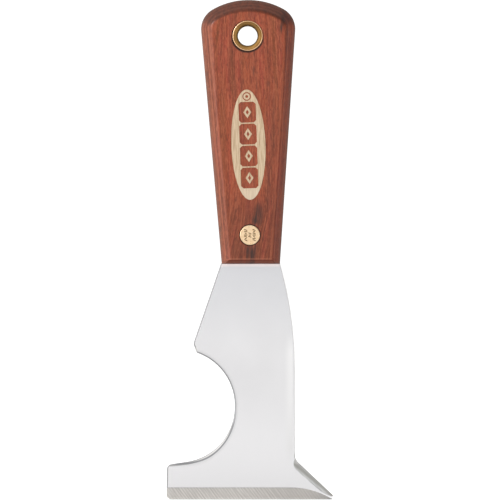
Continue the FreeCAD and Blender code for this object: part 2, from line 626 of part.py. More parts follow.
def make_block(name, front):
    """A block a little wider than a scale, with the sloping face and the facet along each side."""
    out = outwards(front)
    body = new_body(name)
    sketch = new_sketch(body, name + "_outline", "XZ_Plane", *out("tang_half"))
    low, high = -SIZE["heel_drop"], number("butt_rise", "side_margin")
    corners = []
    for corner_x, angle, way in (("heel_left", "left_angle", -1), ("heel_right", "right_angle", 1)):
        lean = math.radians(SIZE[angle])
        margin = way * SIZE["side_margin"] / math.sin(lean)
        corners.append([
            (SIZE[corner_x] + margin + (level + SIZE["heel_drop"]) / math.tan(lean), level)
            for level in (low, high)
        ])
    (left_low, left_high), (right_low, right_high) = corners
    left = add_line(sketch, left_low, left_high)
    top = add_line(sketch, left_high, right_high)
    right = add_line(sketch, right_low, right_high)
    bottom = add_line(sketch, left_low, right_low)
    relate(sketch, "Coincident", left, START, bottom, START)
    relate(sketch, "Coincident", left, END, top, START)
    relate(sketch, "Coincident", right, START, bottom, END)
    relate(sketch, "Coincident", right, END, top, END)
    relate(sketch, "Horizontal", top)
    relate(sketch, "Horizontal", bottom)
    pin(sketch, bottom, START, up=("-heel_drop", ))
    pin(sketch, top, START, up=("butt_rise", "side_margin"))
    for line, corner_x, angle in ((left, "heel_left", "left_angle"), (right, "heel_right", "right_angle")):
        bind(sketch, "Angle", line, to=(angle, ))
        heel = sketch.addGeometry(Part.Point(FreeCAD.Vector(SIZE[corner_x], -SIZE["heel_drop"])), True)
        pin(sketch, heel, START, (corner_x, ), ("-heel_drop", ))
        bind(sketch, "Distance", heel, START, line, to=("side_margin", ))
    add_pad(body, name + "_blank", sketch, "scale_butt_height", "side_margin", backwards=not front)

    def face_corner(height, z_terms):
        """A corner of the face's section, at a height over the tang."""
        return flipped(out("tang_half", *height)), z_terms

    slope = new_sketch(body, name + "_face_section", "YZ_Plane")
    above = ("scale_butt_height", "cut_margin")
    add_profile(slope,
                face_corner(("scale_heel_height", ), ("-heel_drop", )),
                face_corner(("scale_butt_height", ), ("butt_rise", )),
                face_corner(above, ("butt_rise", )),
                face_corner(above, ("-heel_drop", )))
    add_pocket(body, name + "_face", slope)
    for facet, way in (("left_facet", -1), ("right_facet", 1)):

        def beside_the_face(middle, direction):
            on_face = abs(abs(middle.y) - SIZE["tang_half"] - face_height(middle.z)) < NEAR
            return on_face and way * middle.x > 0 and abs(direction.z) > SLANTED

        edge = edges_where(body, beside_the_face)
        add_rounding(body, f"{name}_{facet}", "Chamfer", edge, facet, "side_margin")
    return body


def across_the_heel(middle, direction):
    """On the ridge between a scale's face and its facet at the blade."""
    on_face = abs(abs(middle.y) - SIZE["tang_half"] - face_height(middle.z)) < NEAR
    return on_face and abs(direction.x) > ALONG and middle.z < -SIZE["rivet_drop"]


def make_scale(name, front):
    """A handle scale: an upright wall on the tang, facets that lean in all round, and a flat face
    that slopes down from the butt to the blade. Wells hold the eyelet's and the rivet's ends."""
    out = outwards(front)
    body = new_body(name)
    base = draw_handle_outline(body, name + "_outline", *out("tang_half"))
    add_pad(body, name + "_wall", base, "scale_wall", backwards=not front)
    facets = draw_handle_outline(body, name + "_facets_outline", *out("tang_half", "scale_wall"))
    add_pad(body, name + "_facets", facets, "facet_height", taper=("scale_bevel", ),
            backwards=not front)

    block = make_block(name + "_block", front)
    shaping = body.newObject("PartDesign::Boolean", name + "_shaping")
    shaping.Type = "Common"
    shaping.setObjects([block])
    checked(shaping, "cuts")

    heel = edges_where(body, across_the_heel)
    ridges = [ridge for ridge in edges_between(body, FACET, FACE) if ridge not in heel]
    add_rounding(body, name + "_ridge", "Fillet", ridges, "ridge_round")
    add_rounding(body, name + "_heel_ridge", "Fillet", edges_where(body, across_the_heel), "heel_round")
    add_rounding(body, name + "_wall_edge", "Fillet", edges_between(body, WALL, FACET), "wall_round")

    eyelet_seat = "eyelet_seat" if front else "washer_seat"
    for well, radius, seat, place in (
        ("eyelet_well", "eyelet_well", eyelet_seat, (("eyelet_well_x", ), ("-eyelet_well_drop", ))),
        ("rivet_well", "rivet_well", "rivet_seat", (("rivet_x", ), ("-rivet_drop", ))),
    ):
        outline = new_sketch(body, f"{name}_{well}_outline", "XZ_Plane", *out("tang_half", seat))
        add_circle(outline, radius, *place)
        add_pocket(body, f"{name}_{well}", outline, "scale_butt_height", forwards=front)
    holes = new_sketch(body, name + "_holes_outline", "XZ_Plane")
    add_circle(holes, "eyelet_barrel")
    add_circle(holes, "rivet_shank", ("rivet_x", ), ("-rivet_drop", ))
    add_pocket(body, name + "_holes", holes)
    if front:

        def round_the_barrel(middle, direction):
            on_seat = abs(middle.y + number("tang_half", "eyelet_seat")) < NEAR
            return on_seat and abs(math.hypot(middle.x, middle.z) - SIZE["eyelet_barrel"]) < NEAR

        edge = edges_where(body, round_the_barrel)
        add_rounding(body, name + "_flare", "Chamfer", edge, "eyelet_flare")
    return body


def make_turned(name, *corners):
    """A sub-part turned about its own Y axis, from (along Y terms, radius terms) corners."""
    body = new_body(name)
    section = new_sketch(body, name + "_section", "YZ_Plane")
    add_profile(section, *corners)
    add_turning(body, name + "_turning", section)
    return body


def move_to_rivet(body):
    body.setExpression("Placement.Base.x", "dims.rivet_x")
    body.setExpression("Placement.Base.z", "-dims.rivet_drop")
    doc.recompute()


def make_eyelet():
    """A brass tube whose front end is rolled into a wide flange with a bell mouth, and whose rear
    end is curled over the washer."""
    seat = ("-tang_half", "-eyelet_seat")
    crest = (*seat, "-eyelet_stand")
    below = (*crest, "eyelet_bead")
    inside = ("eyelet_flange", "-eyelet_bead", "-eyelet_bead")
    washer = ("tang_half", "washer_seat", "washer_thickness")
    top = (*washer, "curl_height")
    return make_turned(
        "eyelet",
        ((*below, "eyelet_bell_depth"), ("eyelet_bore", ), ("eyelet_bell", "right")),
        (below, ("eyelet_bore", "eyelet_bell_width")),
        (below, inside, ("eyelet_bead", "right")),
        (crest, ("eyelet_flange", "-eyelet_bead"), ("eyelet_bead", "right")),
        (below, ("eyelet_flange", )),
        (seat, ("eyelet_flange", )),
        (seat, ("eyelet_barrel", "eyelet_flare")),
        ((*seat, "eyelet_flare"), ("eyelet_barrel", )),
        (washer, ("eyelet_barrel", )),
        (washer, ("curl_radius", )),
        ((*top, "-eyelet_rim"), ("curl_radius", ), ("eyelet_rim", "right")),
        (top, ("curl_radius", "-eyelet_rim")),
        (top, ("eyelet_bore", "curl_bell"), ("curl_bell", "right")),
        ((*top, "-curl_bell"), ("eyelet_bore", )),
    )


def make_washer():
    """The ring that the eyelet's rear end is curled over."""
    seat = ("tang_half", "washer_seat")
    return make_turned(
        "eyelet_washer",
        (seat, ("eyelet_barrel", )),
        (seat, ("eyelet_flange", )),
        ((*seat, "washer_thickness"), ("eyelet_flange", )),
        ((*seat, "washer_thickness"), ("eyelet_barrel", )),
    )


def make_rivet_socket():
    """The front half of the rivet: a round head on a hollow shank."""
    seat = ("-tang_half", "-rivet_seat")
    top = (*seat, "-rivet_head_height")
    shank_end = ("tang_half", "rivet_seat", "-rivet_shank_gap")
    body = make_turned(
        "rivet_socket",
        (top, ()),
        (top, ("rivet_head", "-rivet_head_round"), ("rivet_head_round", "right")),
        ((*top, "rivet_head_round"), ("rivet_head", )),
        (seat, ("rivet_head", )),
        (seat, ("rivet_shank", )),
        (shank_end, ("rivet_shank", )),
        (shank_end, ("rivet_pin", )),
        (("-rivet_pin_end", ), ("rivet_pin", )),
        (("-rivet_pin_end", ), ()),
    )
    move_to_rivet(body)
    return body


def make_rivet_pin():
    """The rear half of the rivet: a round head on a solid pin, pressed into the socket."""
    seat = ("tang_half", "rivet_seat")
    top = (*seat, "rivet_head_height")
    body = make_turned(
        "rivet_pin",
        (("-rivet_pin_end", ), ()),
        (("-rivet_pin_end", ), ("rivet_pin", )),
        (seat, ("rivet_pin", )),
        (seat, ("rivet_head", )),
        ((*top, "-rivet_head_round"), ("rivet_head", ), ("rivet_head_round", "right")),
        (top, ("rivet_head", "-rivet_head_round")),
        (top, ()),
    )
    move_to_rivet(body)
    return body


def make_mark():
    """The thin oval of gold foil that lies on the front scale's sloping face."""
    body = new_body("foil_mark")
    sketch = new_sketch(body, "foil_mark_outline", "XZ_Plane")
    lean = math.radians(SIZE["mark_angle"])
    along = FreeCAD.Vector(math.cos(lean), math.sin(lean)) * SIZE["mark_half_length"]
    across = FreeCAD.Vector(-math.sin(lean), math.cos(lean)) * SIZE["mark_half_width"]
    oval = sketch.addGeometry(Part.Ellipse(along, across, FreeCAD.Vector(0, 0)))
    sketch.exposeInternalGeometry(oval)
    long_axis, short_axis = oval + 1, oval + 2
    relate(sketch, "Coincident", oval, CENTRE, *ORIGIN)
    bind(sketch, "Distance", long_axis, to=("mark_half_length", "mark_half_length"))
    bind(sketch, "Distance", short_axis, to=("mark_half_width", "mark_half_width"))
    bind(sketch, "Angle", long_axis, to=("mark_angle", ))
    add_pad(body, "foil", sketch, "mark_thickness")
    rise = "(dims.scale_butt_height - dims.scale_heel_height) / (dims.butt_rise + dims.heel_drop)"
    face = f"dims.tang_half + dims.scale_heel_height + (dims.heel_drop - dims.mark_drop) * {rise}"
    body.setExpression("Placement.Base.x", "dims.mark_x")
    body.setExpression("Placement.Base.y", f"-({face})")
    body.setExpression("Placement.Base.z", "-dims.mark_drop")
    body.Placement.Rotation = FreeCAD.Rotation(FreeCAD.Vector(1, 0, 0), 1)
    body.setExpression("Placement.Rotation.Angle", f"atan({rise})")
    doc.recompute()
    return body


def check_and_write(sub_parts):
    """Stops on any failed object, then writes each sub-part's shape."""
    for each in doc.Objects:
        if {"Invalid", "Error"} & set(each.State):
            raise ValueError(f"{each.Label} failed: {each.State}")
    for sub_part in sub_parts:
        if sub_part.Shape.isNull() or not sub_part.Shape.isValid():
            raise ValueError(f"{sub_part.Label} has no sound shape")
        if len(sub_part.Shape.Solids) != 1:
            raise ValueError(f"{sub_part.Label} is {len(sub_part.Shape.Solids)} solids")
    os.makedirs("parts", exist_ok=True)
    for sub_part in sub_parts:
        sub_part.Shape.exportStep(f"parts/{sub_part.Label}.step")
        print(f"{sub_part.Label:15} {sub_part.Shape.Volume:9.1f} mm3")


add_sheet()
check_and_write([
    make_blade(),
    make_scale("front_scale", front=True),
    make_scale("rear_scale", front=False),
    make_eyelet(),
    make_washer(),
    make_rivet_socket(),
    make_rivet_pin(),
    make_mark(),
])
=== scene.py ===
import math

import bmesh
import bpy
from mathutils import Matrix, Vector


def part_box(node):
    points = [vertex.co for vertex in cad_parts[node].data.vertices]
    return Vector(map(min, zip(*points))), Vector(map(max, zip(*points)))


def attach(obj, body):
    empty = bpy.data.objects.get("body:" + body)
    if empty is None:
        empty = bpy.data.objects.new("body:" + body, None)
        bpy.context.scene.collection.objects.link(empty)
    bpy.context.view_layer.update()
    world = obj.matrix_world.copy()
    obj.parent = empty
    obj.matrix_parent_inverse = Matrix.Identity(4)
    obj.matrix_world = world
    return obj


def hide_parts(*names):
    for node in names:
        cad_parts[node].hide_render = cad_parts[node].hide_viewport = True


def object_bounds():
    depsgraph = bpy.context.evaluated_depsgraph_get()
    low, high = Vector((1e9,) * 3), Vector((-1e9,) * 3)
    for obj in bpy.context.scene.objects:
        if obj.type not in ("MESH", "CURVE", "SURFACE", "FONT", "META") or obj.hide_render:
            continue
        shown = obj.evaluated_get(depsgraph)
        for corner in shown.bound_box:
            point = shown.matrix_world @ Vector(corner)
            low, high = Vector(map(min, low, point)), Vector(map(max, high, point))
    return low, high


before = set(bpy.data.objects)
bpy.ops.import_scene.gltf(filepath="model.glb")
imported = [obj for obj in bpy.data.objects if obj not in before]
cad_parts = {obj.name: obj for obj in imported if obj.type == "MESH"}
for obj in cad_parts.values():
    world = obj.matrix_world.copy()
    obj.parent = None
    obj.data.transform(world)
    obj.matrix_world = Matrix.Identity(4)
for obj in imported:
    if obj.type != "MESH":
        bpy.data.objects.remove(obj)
cad_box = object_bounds()
scene = bpy.context.scene
scene.view_settings.view_transform = "Standard"
MM = 0.001

# The CAD model's sizes that the new pieces and the materials are built on, in metres.
FACE_SLOPE = 2.8 / 100.6  # how much the handle's face rises for each metre towards the butt
HEEL_DROP = 86.9 * MM  # the blade end of the handle
HEEL_LEFT, HEEL_RIGHT = -9.9 * MM, 12.3 * MM  # its two corners
LEFT_LEAN, RIGHT_LEAN = -0.0884, 0.0655  # how far each side moves in X for each metre upwards
HEEL_FACE = 6.2 * MM  # the handle's face at the blade, from the middle of the tang
LEFT_FACET, RIGHT_FACET = 2.9 * MM, 3.15 * MM
WALL_TOP = 4.8 * MM  # where the facets start at the butt and the blade, from the tang's middle
WELL_CENTRE = Vector((-0.15, 0, -0.17)) * MM  # the sunk well round the eyelet
FOIL_CENTRE = Vector((0.27, 0, -41.5)) * MM
FOIL_HALF_LENGTH, FOIL_HALF_WIDTH = 21.0 * MM, 6.5 * MM
FOIL_LEAN = math.radians(2.0)
FOIL_THICKNESS = 0.1 * MM
RIVET = Vector((0.85, 0, -75.9)) * MM
RIVET_TOP = -6.4 * MM  # the front head's top
NOTCH = Vector((-26.4, 0, -141.1)) * MM
NOTCH_RADIUS = 21.55 * MM
NOTCH_BEVEL = 1.1 * MM  # the bevel's width at the bottom of the notch
POINT_ROOT, POINT_TIP = Vector((18.1, 0, -161.45)) * MM, Vector((32.55, 0, -175.1)) * MM
BEVEL_TOP = -172.1 * MM  # the line above the scraping edge's bevel

# ---------------------------------------------------------------------------------------------
# Camera and light

DISTANCE = 6.0
VIEW_HEIGHT = 0.1907
SENSOR = 36  # mm
VIEW_CENTRE = Vector((0.88, 0, -81.6)) * MM

camera_data = bpy.data.cameras.new("camera")
camera_data.sensor_width = SENSOR
camera_data.lens = SENSOR * DISTANCE / VIEW_HEIGHT
camera_data.clip_start, camera_data.clip_end = 0.1, 50
camera = bpy.data.objects.new("camera", camera_data)
camera.location = VIEW_CENTRE + Vector((0, -DISTANCE, 0))
camera.rotation_euler = (math.radians(90), 0, 0)
scene.collection.objects.link(camera)
scene.camera = camera


def link_new(name, shape):
    """A new object in the scene for a mesh or a curve."""
    piece = bpy.data.objects.new(name, shape)
    scene.collection.objects.link(piece)
    return piece


def add_area(name, location, target, size, watts):
    """A soft oblong light, of a width and a height, that looks at a point."""
    data = bpy.data.lights.new(name, "AREA")
    data.shape = "RECTANGLE"
    data.size, data.size_y = size
    data.energy = watts
    light = bpy.data.objects.new(name, data)
    light.location = location
    light.rotation_euler = (Vector(target) - Vector(location)).to_track_quat("-Z", "Y").to_euler()
    scene.collection.objects.link(light)


add_area("key", (-1.5, -1.1, 0.7), (0, 0, -0.06), (0.6, 0.6), 17)
add_area("strip", (-1.6, -1.35, -0.05), (0, 0, -0.05), (0.16, 1.2), 9)

# The studio's brightness at the left and the right in front of the object, and behind it
FRONT_LEFT, FRONT_RIGHT, BEHIND = 1.08, 0.4, 1.12


def make_world():
    """A white studio: bright behind the object, and fading from left to right in front of it."""
    world = bpy.data.worlds.new("studio")
    scene.world = world
    world.use_nodes = True
    tree = world.node_tree

    def fade(value, low, high, to_low, to_high):
        made = tree.nodes.new("ShaderNodeMapRange")
        made.interpolation_type = "SMOOTHSTEP"
        for key, number in (("From Min", low), ("From Max", high),
                            ("To Min", to_low), ("To Max", to_high)):
            made.inputs[key].default_value = number
        tree.links.new(value, made.inputs["Value"])
        return made

    direction = tree.nodes.new("ShaderNodeTexCoord").outputs["Generated"]
    parts = tree.nodes.new("ShaderNodeSeparateXYZ")
    tree.links.new(direction, parts.inputs[0])
    sideways = fade(parts.outputs[0], -0.9, 0.9, FRONT_LEFT, FRONT_RIGHT)
    behind = fade(parts.outputs[1], -0.25, 0.35, 0.0, BEHIND)
    tree.links.new(sideways.outputs["Result"], behind.inputs["To Min"])
    background = tree.nodes["Background"]
    background.inputs["Color"].default_value = (1, 1, 1, 1)
    tree.links.new(behind.outputs["Result"], background.inputs["Strength"])


make_world()

# ---------------------------------------------------------------------------------------------
# Material helpers. Colours are given as red, green and blue from 0 to 255.


def srgb(red, green, blue):
    """A colour given as 0 to 255, as the shader's linear one."""
    def linear(value):
        share = value / 255
        return share / 12.92 if share <= 0.04045 else ((share + 0.055) / 1.055) ** 2.4

    return linear(red), linear(green), linear(blue), 1.0


class Shader:
    """The nodes of one material. Most calls add nodes and return the socket that they give."""

    def __init__(self, name, uniform):
        self.material = bpy.data.materials.new(name)
        self.material.use_nodes = True
        self.tree = self.material.node_tree
        self.surface = self.tree.nodes["Principled BSDF"]
        for socket, value in uniform.items():
            self.surface.inputs[socket].default_value = value
        self.place = self.tree.nodes.new("ShaderNodeTexCoord").outputs["Object"]
        self.x, self.y, self.z = self.parts(self.place)

    def node(self, kind, inputs=(), **settings):
        made = self.tree.nodes.new("ShaderNode" + kind)
        for key, value in settings.items():
            setattr(made, key, value)
        for key, value in dict(inputs).items():
            self.feed(made.inputs[key], value)
        return made

    def feed(self, socket, value):
        """Gives a socket a value, or links another socket to it."""
        if isinstance(value, bpy.types.NodeSocket):
            self.tree.links.new(value, socket)
        else:
            socket.default_value = value

    def math(self, operation, *values):
        return self.node("Math", enumerate(values), operation=operation).outputs[0]

    def times(self, first, *others):
        """The product of all the values."""
        for other in others:
            first = self.math("MULTIPLY", first, other)
        return first

    def minus(self, first, second):
        return self.math("SUBTRACT", first, second)

    def size(self, value):
        """The value without its sign."""
        return self.math("ABSOLUTE", value)

    def vector(self, operation, *values):
        made = self.node("VectorMath", enumerate(values), operation=operation)
        return made.outputs["Value" if operation in ("LENGTH", "DOT_PRODUCT") else "Vector"]

    def combine(self, *values):
        return self.node("CombineXYZ", enumerate(values)).outputs[0]

    def parts(self, vector):
        """The X, Y and Z of a vector."""
        return self.node("SeparateXYZ", {0: vector}).outputs

    def normal_parts(self):
        """The X, Y and Z of the surface's own direction."""
        return self.parts(self.node("NewGeometry").outputs["Normal"])

    def from_axis(self, centre=(0, 0, 0)):
        """How far the place is from the line along Y through the centre."""
        offset = self.vector("SUBTRACT", self.place, tuple(centre))
        return self.vector("LENGTH", self.vector("MULTIPLY", offset, (1, 0, 1)))

    def noise(self, cycles, detail, roughness=0.55, drift=None):
        """Noise with its own cycles per metre along X, Y and Z."""
        place = self.vector("ADD", self.place, drift) if drift else self.place
        return self.noise_at(self.vector("MULTIPLY", place, cycles), detail, roughness)

    def noise_at(self, vector, detail, roughness=0.55):
        made = self.node("TexNoise", {"Vector": vector, "Scale": 1.0, "Detail": detail,
                                      "Roughness": roughness})
        return made.outputs["Fac"]

    def ramp(self, value, low, high, to_low=0.0, to_high=1.0, smooth=True):
        """The value, from low to high, mapped to other limits."""
        kind = "SMOOTHSTEP" if smooth else "LINEAR"
        made = self.node("MapRange", {"Value": value, "From Min": low, "From Max": high,
                                      "To Min": to_low, "To Max": to_high}, interpolation_type=kind)
        return made.outputs["Result"]

    def near(self, value, middle, half, core=0.0, strength=1.0):
        """A soft line: full within core of the middle, and gone at half from it."""
        return self.ramp(self.size(self.minus(value, middle)), half, core, 0, strength)

    def mix(self, share, first, second, blend="MIX"):
        """Two colours mixed by the share of the second."""
        made = self.node("Mix", data_type="RGBA", blend_type=blend)
        for index, value in ((0, share), (6, first), (7, second)):
            self.feed(made.inputs[index], value)
        return made.outputs[2]

    def layer(self, colour, share, shade):
        """The colour with a share of the shade, given from 0 to 255, over it."""
        return self.mix(share, colour, srgb(*shade))

    def bump(self, height, distance, strength=1.0, below=None):
        inputs = {"Height": height, "Distance": distance, "Strength": strength}
        if below:
            inputs["Normal"] = below
        return self.node("Bump", inputs).outputs["Normal"]

    def finish(self, colour, roughness=None, normal=None):
        for socket, value in (("Base Color", colour), ("Roughness", roughness), ("Normal", normal)):
            if value is not None:
                self.tree.links.new(value, self.surface.inputs[socket])
        return self.material


# ---------------------------------------------------------------------------------------------
# Wood

GRAIN_LEAN = 4.5 * MM  # how far the grain leans to the side near the blade
GRAIN_WANDER = 2.2 * MM  # how far it wanders to either side elsewhere

GRAINS = (
    # name, cycles per metre along X, Y and Z, detail, roughness
    ("figure", (240, 180, 11), 3, 0.55),
    ("tint", (400, 300, 26), 3, 0.55),
    ("bands", (620, 300, 20), 3, 0.55),
    ("fibre", (2600, 2600, 90), 5, 0.65),
    ("flecks", (2300, 2300, 520), 3, 0.7),
    ("pores", (5600, 5600, 240), 2, 0.55),
    ("rings", (900, 900, 500), 4, 0.55),
    ("ragged", (900, 900, 60), 4, 0.55),
)

GRAIN_LAYERS = (
    # grain, where it starts to show and shows fully, strength, colour
    ("tint", 0.5, 0.68, 0.6, (152, 60, 44)),
    ("tint", 0.46, 0.3, 0.6, (118, 62, 28)),
    ("bands", 0.42, 0.72, 0.6, (88, 36, 18)),
    ("fibre", 0.4, 0.68, 0.75, (170, 90, 60)),
    ("flecks", 0.5, 0.66, 0.5, (80, 34, 16)),
    ("flecks", 0.46, 0.34, 0.32, (180, 102, 68)),
    ("pores", 0.6, 0.72, 0.6, (66, 28, 14)),
)

DARK_STREAKS = (
    # x, z, half width, half length in mm, and strength
    (4.1, -67.2, 2.0, 4.8, 0.75),
    (3.3, -70.6, 2.1, 3.4, 0.95),
    (1.2, -82.6, 2.3, 6.4, 0.95),
    (13.5, 6.1, 1.3, 3.2, 0.7),
    (12.6, 3.0, 0.6, 2.8, 0.9),
    (9.6, -36.0, 2.8, 18.0, 0.25),
    (-4.6, -82.0, 3.0, 6.5, 0.2),
    (2.2, -13.6, 0.5, 2.6, 0.5),
    (7.6, -18.2, 1.1, 1.6, 0.4),
    (7.9, -54.0, 1.3, 13.0, 0.3),
    (-2.4, -88.0, 0.8, 9.0, 0.3),
)

# Painted highlight and painted shade for the light and dark lines along the wood's facets
PAINTED_HIGHLIGHT, PAINTED_SHADE = (190, 116, 90), (84, 34, 18)
FACET_LINES = (
    # distance from the facet's outer side and half width in mm, strength on the left and on the
    # right facet, and colour: a painted highlight or a painted shade
    (1.72, 0.35, 0.25, 0.0, PAINTED_HIGHLIGHT),
    (2.15, 0.35, 0.4, 0.0, PAINTED_SHADE),
    (2.9, 0.4, 0.25, 0.0, PAINTED_HIGHLIGHT),
    (2.45, 0.35, 0.0, 0.18, PAINTED_HIGHLIGHT),
    (2.95, 0.35, 0.0, 0.35, PAINTED_SHADE),
)


class Wood(Shader):
    """Lacquered rosewood with its grain along the handle, darker on the end grain."""

    def __init__(self):
        super().__init__("rosewood", {"Coat Weight": 0.16, "Coat Roughness": 0.2,
                                      "Specular IOR Level": 0.28})
        self.normal = self.normal_parts()
        self.facing = self.size(self.normal[1])
        self.flat = self.ramp(self.facing, 0.9, 0.97)
        self.on_facet = self.ramp(self.facing, 0.95, 0.8)
        self.on_end = self.ramp(self.size(self.normal[2]), 0.06, 0.36)
        self.to_right = self.ramp(self.normal[0], 0.3, 0.5)
        self.rise = self.math("ADD", self.z, HEEL_DROP)
        self.face = self.math("MULTIPLY_ADD", self.rise, FACE_SLOPE, HEEL_FACE)
        self.height = self.size(self.y)

        wander = self.ramp(self.noise((60, 60, 14), 2), 0.2, 0.8, -GRAIN_WANDER, GRAIN_WANDER,
                           smooth=False)
        lean = self.ramp(self.z, -50 * MM, -100 * MM, 0, GRAIN_LEAN)
        drift = self.combine(self.math("ADD", wander, lean))
        self.grain = {name: self.noise(cycles, detail, roughness, drift)
                      for name, cycles, detail, roughness in GRAINS}

    def grain_colour(self):
        """The long grain, darker and with paler fibres at the lower left of the face."""
        figure = self.ramp(self.grain["figure"], 0.32, 0.7)
        colour = self.mix(figure, srgb(146, 64, 34), srgb(116, 48, 25))
        for name, start, full, strength, shade in GRAIN_LAYERS:
            share = self.ramp(self.grain[name], start, full, 0, strength)
            colour = self.layer(colour, share, shade)
        lower = self.times(self.ramp(self.z, -56 * MM, -70 * MM, 0, 0.3), self.flat,
                           self.ramp(self.x, 3.5 * MM, 7.5 * MM, 1, 0.2))
        colour = self.layer(colour, lower, (82, 42, 24))
        pale_fibre = self.times(self.ramp(self.grain["bands"], 0.5, 0.34, 0, 0.8), lower)
        return self.layer(colour, pale_fibre, (196, 110, 78))

    def add_end_grain(self, colour):
        rings = self.ramp(self.grain["rings"], 0.35, 0.65)
        end_colour = self.mix(rings, srgb(94, 40, 20), srgb(68, 28, 12))
        colour = self.mix(self.times(self.on_end, 0.88), colour, end_colour)
        heel = self.ramp(self.normal[2], -0.25, -0.5, 0, 0.5)
        return self.layer(colour, heel, (144, 56, 26))

    def add_streaks(self, colour):
        ragged = self.ramp(self.grain["ragged"], 0.3, 0.7, -0.35, 0.35)
        for centre_x, centre_z, half_width, half_length, strength in DARK_STREAKS:
            offset = self.vector("SUBTRACT", self.place, (centre_x * MM, 0, centre_z * MM))
            scale = (1 / (half_width * MM), 0, 1 / (half_length * MM))
            reach = self.vector("LENGTH", self.vector("MULTIPLY", offset, scale))
            share = self.ramp(self.math("ADD", reach, ragged), 0.1, 1.1, strength, 0)
            colour = self.layer(colour, share, (54, 34, 27))
        return colour

    def add_facets(self, colour):
        """The facets' painted shade, heavier on the right, a painted reflection greying them
        towards the outer edge, and painted highlight and shade lines along them and below the
        heel's ridge.
        """
        width = self.ramp(self.to_right, 0, 1, LEFT_FACET, RIGHT_FACET, smooth=False)
        foot = self.math("MINIMUM", self.minus(self.face, width), WALL_TOP)
        inset = self.math("MINIMUM", self.minus(self.height, foot), self.rise)
        # Painted shade on the facets: a little greyer on the left, darker and browner on the right
        facet_shade = self.mix(self.to_right, srgb(238, 250, 250), srgb(226, 196, 148))
        colour = self.mix(self.on_facet, colour, facet_shade, blend="MULTIPLY")
        # Painted reflection: a grey veil on the facets towards their outer edge
        painted_reflection = self.times(self.on_facet, self.ramp(inset, 1.5 * MM, 0.1 * MM, 0, 0.5),
                          self.math("MULTIPLY_ADD", self.on_end, -0.4, 1.0))
        colour = self.layer(colour, painted_reflection, (112, 84, 72))
        off_end = self.math("MULTIPLY_ADD", self.on_end, -0.7, 1.0)
        # Painted highlight and painted shade lines along the facets
        for middle, half, at_left, at_right, shade in FACET_LINES:
            strength = self.ramp(self.to_right, 0, 1, at_left, at_right, smooth=False)
            line = self.near(inset, middle * MM, half * MM)
            colour = self.layer(colour, self.times(line, strength, off_end, self.on_facet), shade)
        # Painted shade: a dark line on the heel's facet just below its ridge
        heel_shade_line = self.near(self.rise, 1.3 * MM, 0.35 * MM, strength=0.5)
        under = self.ramp(self.normal[2], -0.25, -0.5)
        return self.layer(colour, self.times(heel_shade_line, under), (84, 26, 12))

    def add_ridges(self, colour):
        """Painted highlights along the flat face's sides and above the heel's ridge, and dark at
        the outer edge.
        """
        left_side = self.math("MULTIPLY_ADD", self.rise, LEFT_LEAN, HEEL_LEFT)
        right_side = self.math("MULTIPLY_ADD", self.rise, RIGHT_LEAN, HEEL_RIGHT)
        # Painted highlights: light lines on the flat face beside its ridges
        for across, middle, half, shade in (
            (self.minus(self.x, left_side), LEFT_FACET + 0.2 * MM, 0.7 * MM, (190, 116, 92)),
            (self.minus(right_side, self.x), RIGHT_FACET + 0.3 * MM, 0.6 * MM, (176, 104, 76)),
            (self.rise, 1.85 * MM, 0.6 * MM, (176, 108, 82)),
        ):
            ridge_highlight = self.near(across, middle, half, strength=0.3)
            colour = self.layer(colour, self.times(ridge_highlight, self.flat), shade)
        edge = self.times(self.ramp(self.facing, 0.03, 0.1),
                          self.ramp(self.facing, 0.66, 0.5, 0, 0.8))
        return self.layer(colour, edge, (62, 46, 42))

    def add_wells(self, colour):
        """Painted shade in the wells round the eyelet and the rivet, and a painted shadow below the
        eyelet.
        """
        depth = self.minus(self.face, self.height)
        # Painted shade: darker where the wood is sunk below its face
        sunk_shade = self.times(self.ramp(depth, 0.2 * MM, 0.45 * MM), self.flat)
        colour = self.layer(colour, sunk_shade, (52, 20, 10))
        # Painted shadow: a crescent beside the eyelet's well, on its lower side
        beside = self.ramp(self.from_axis(WELL_CENTRE), 6.55 * MM, 6.2 * MM, 0, 0.8)
        shadow_crescent = self.times(beside, self.ramp(self.z, 0, -3.5 * MM), self.flat)
        return self.layer(colour, shadow_crescent, (58, 24, 12))

    def make(self):
        colour = self.grain_colour()
        for add in (self.add_end_grain, self.add_streaks, self.add_facets, self.add_ridges,
                    self.add_wells):
            colour = add(colour)
        fibre, pores = self.grain["fibre"], self.grain["pores"]
        relief = self.minus(self.ramp(fibre, 0.3, 0.7, 0, 0.5), self.ramp(pores, 0.6, 0.7))
        roughness = self.ramp(fibre, 0.3, 0.7, 0.36, 0.5)
        return self.finish(colour, roughness, self.bump(relief, 0.03 * MM, 0.5))


# ---------------------------------------------------------------------------------------------
# Steel

GRINDING_SLANT = math.radians(53)
STRIPE_PITCH = 6500  # radians per metre across the grinding marks
SCRATCHES_ACROSS, SCRATCHES_ALONG = 2600, 120  # cycles per metre
# The second zone is a painted highlight towards the scraping edge, the third a painted pink
# reflection of the wood just below the heel
FACE_ZONES = (
    # where on Z it starts and where it is full in mm, strength, colour
    (-125, -85, 0.6, (206, 207, 211)),
    (-125, -168, 1, (255, 254, 255)),
    (-88.4, -87.2, 0.8, (255, 242, 240)),
)
# The painted highlight strip's limits on X and Z in mm: where it starts and is full, from either
# side
BESIDE_EDGE_X = ((13.5, 16.5), (17.6, 16.8))
BESIDE_EDGE_Z = ((-112, -122), (-164, -156))


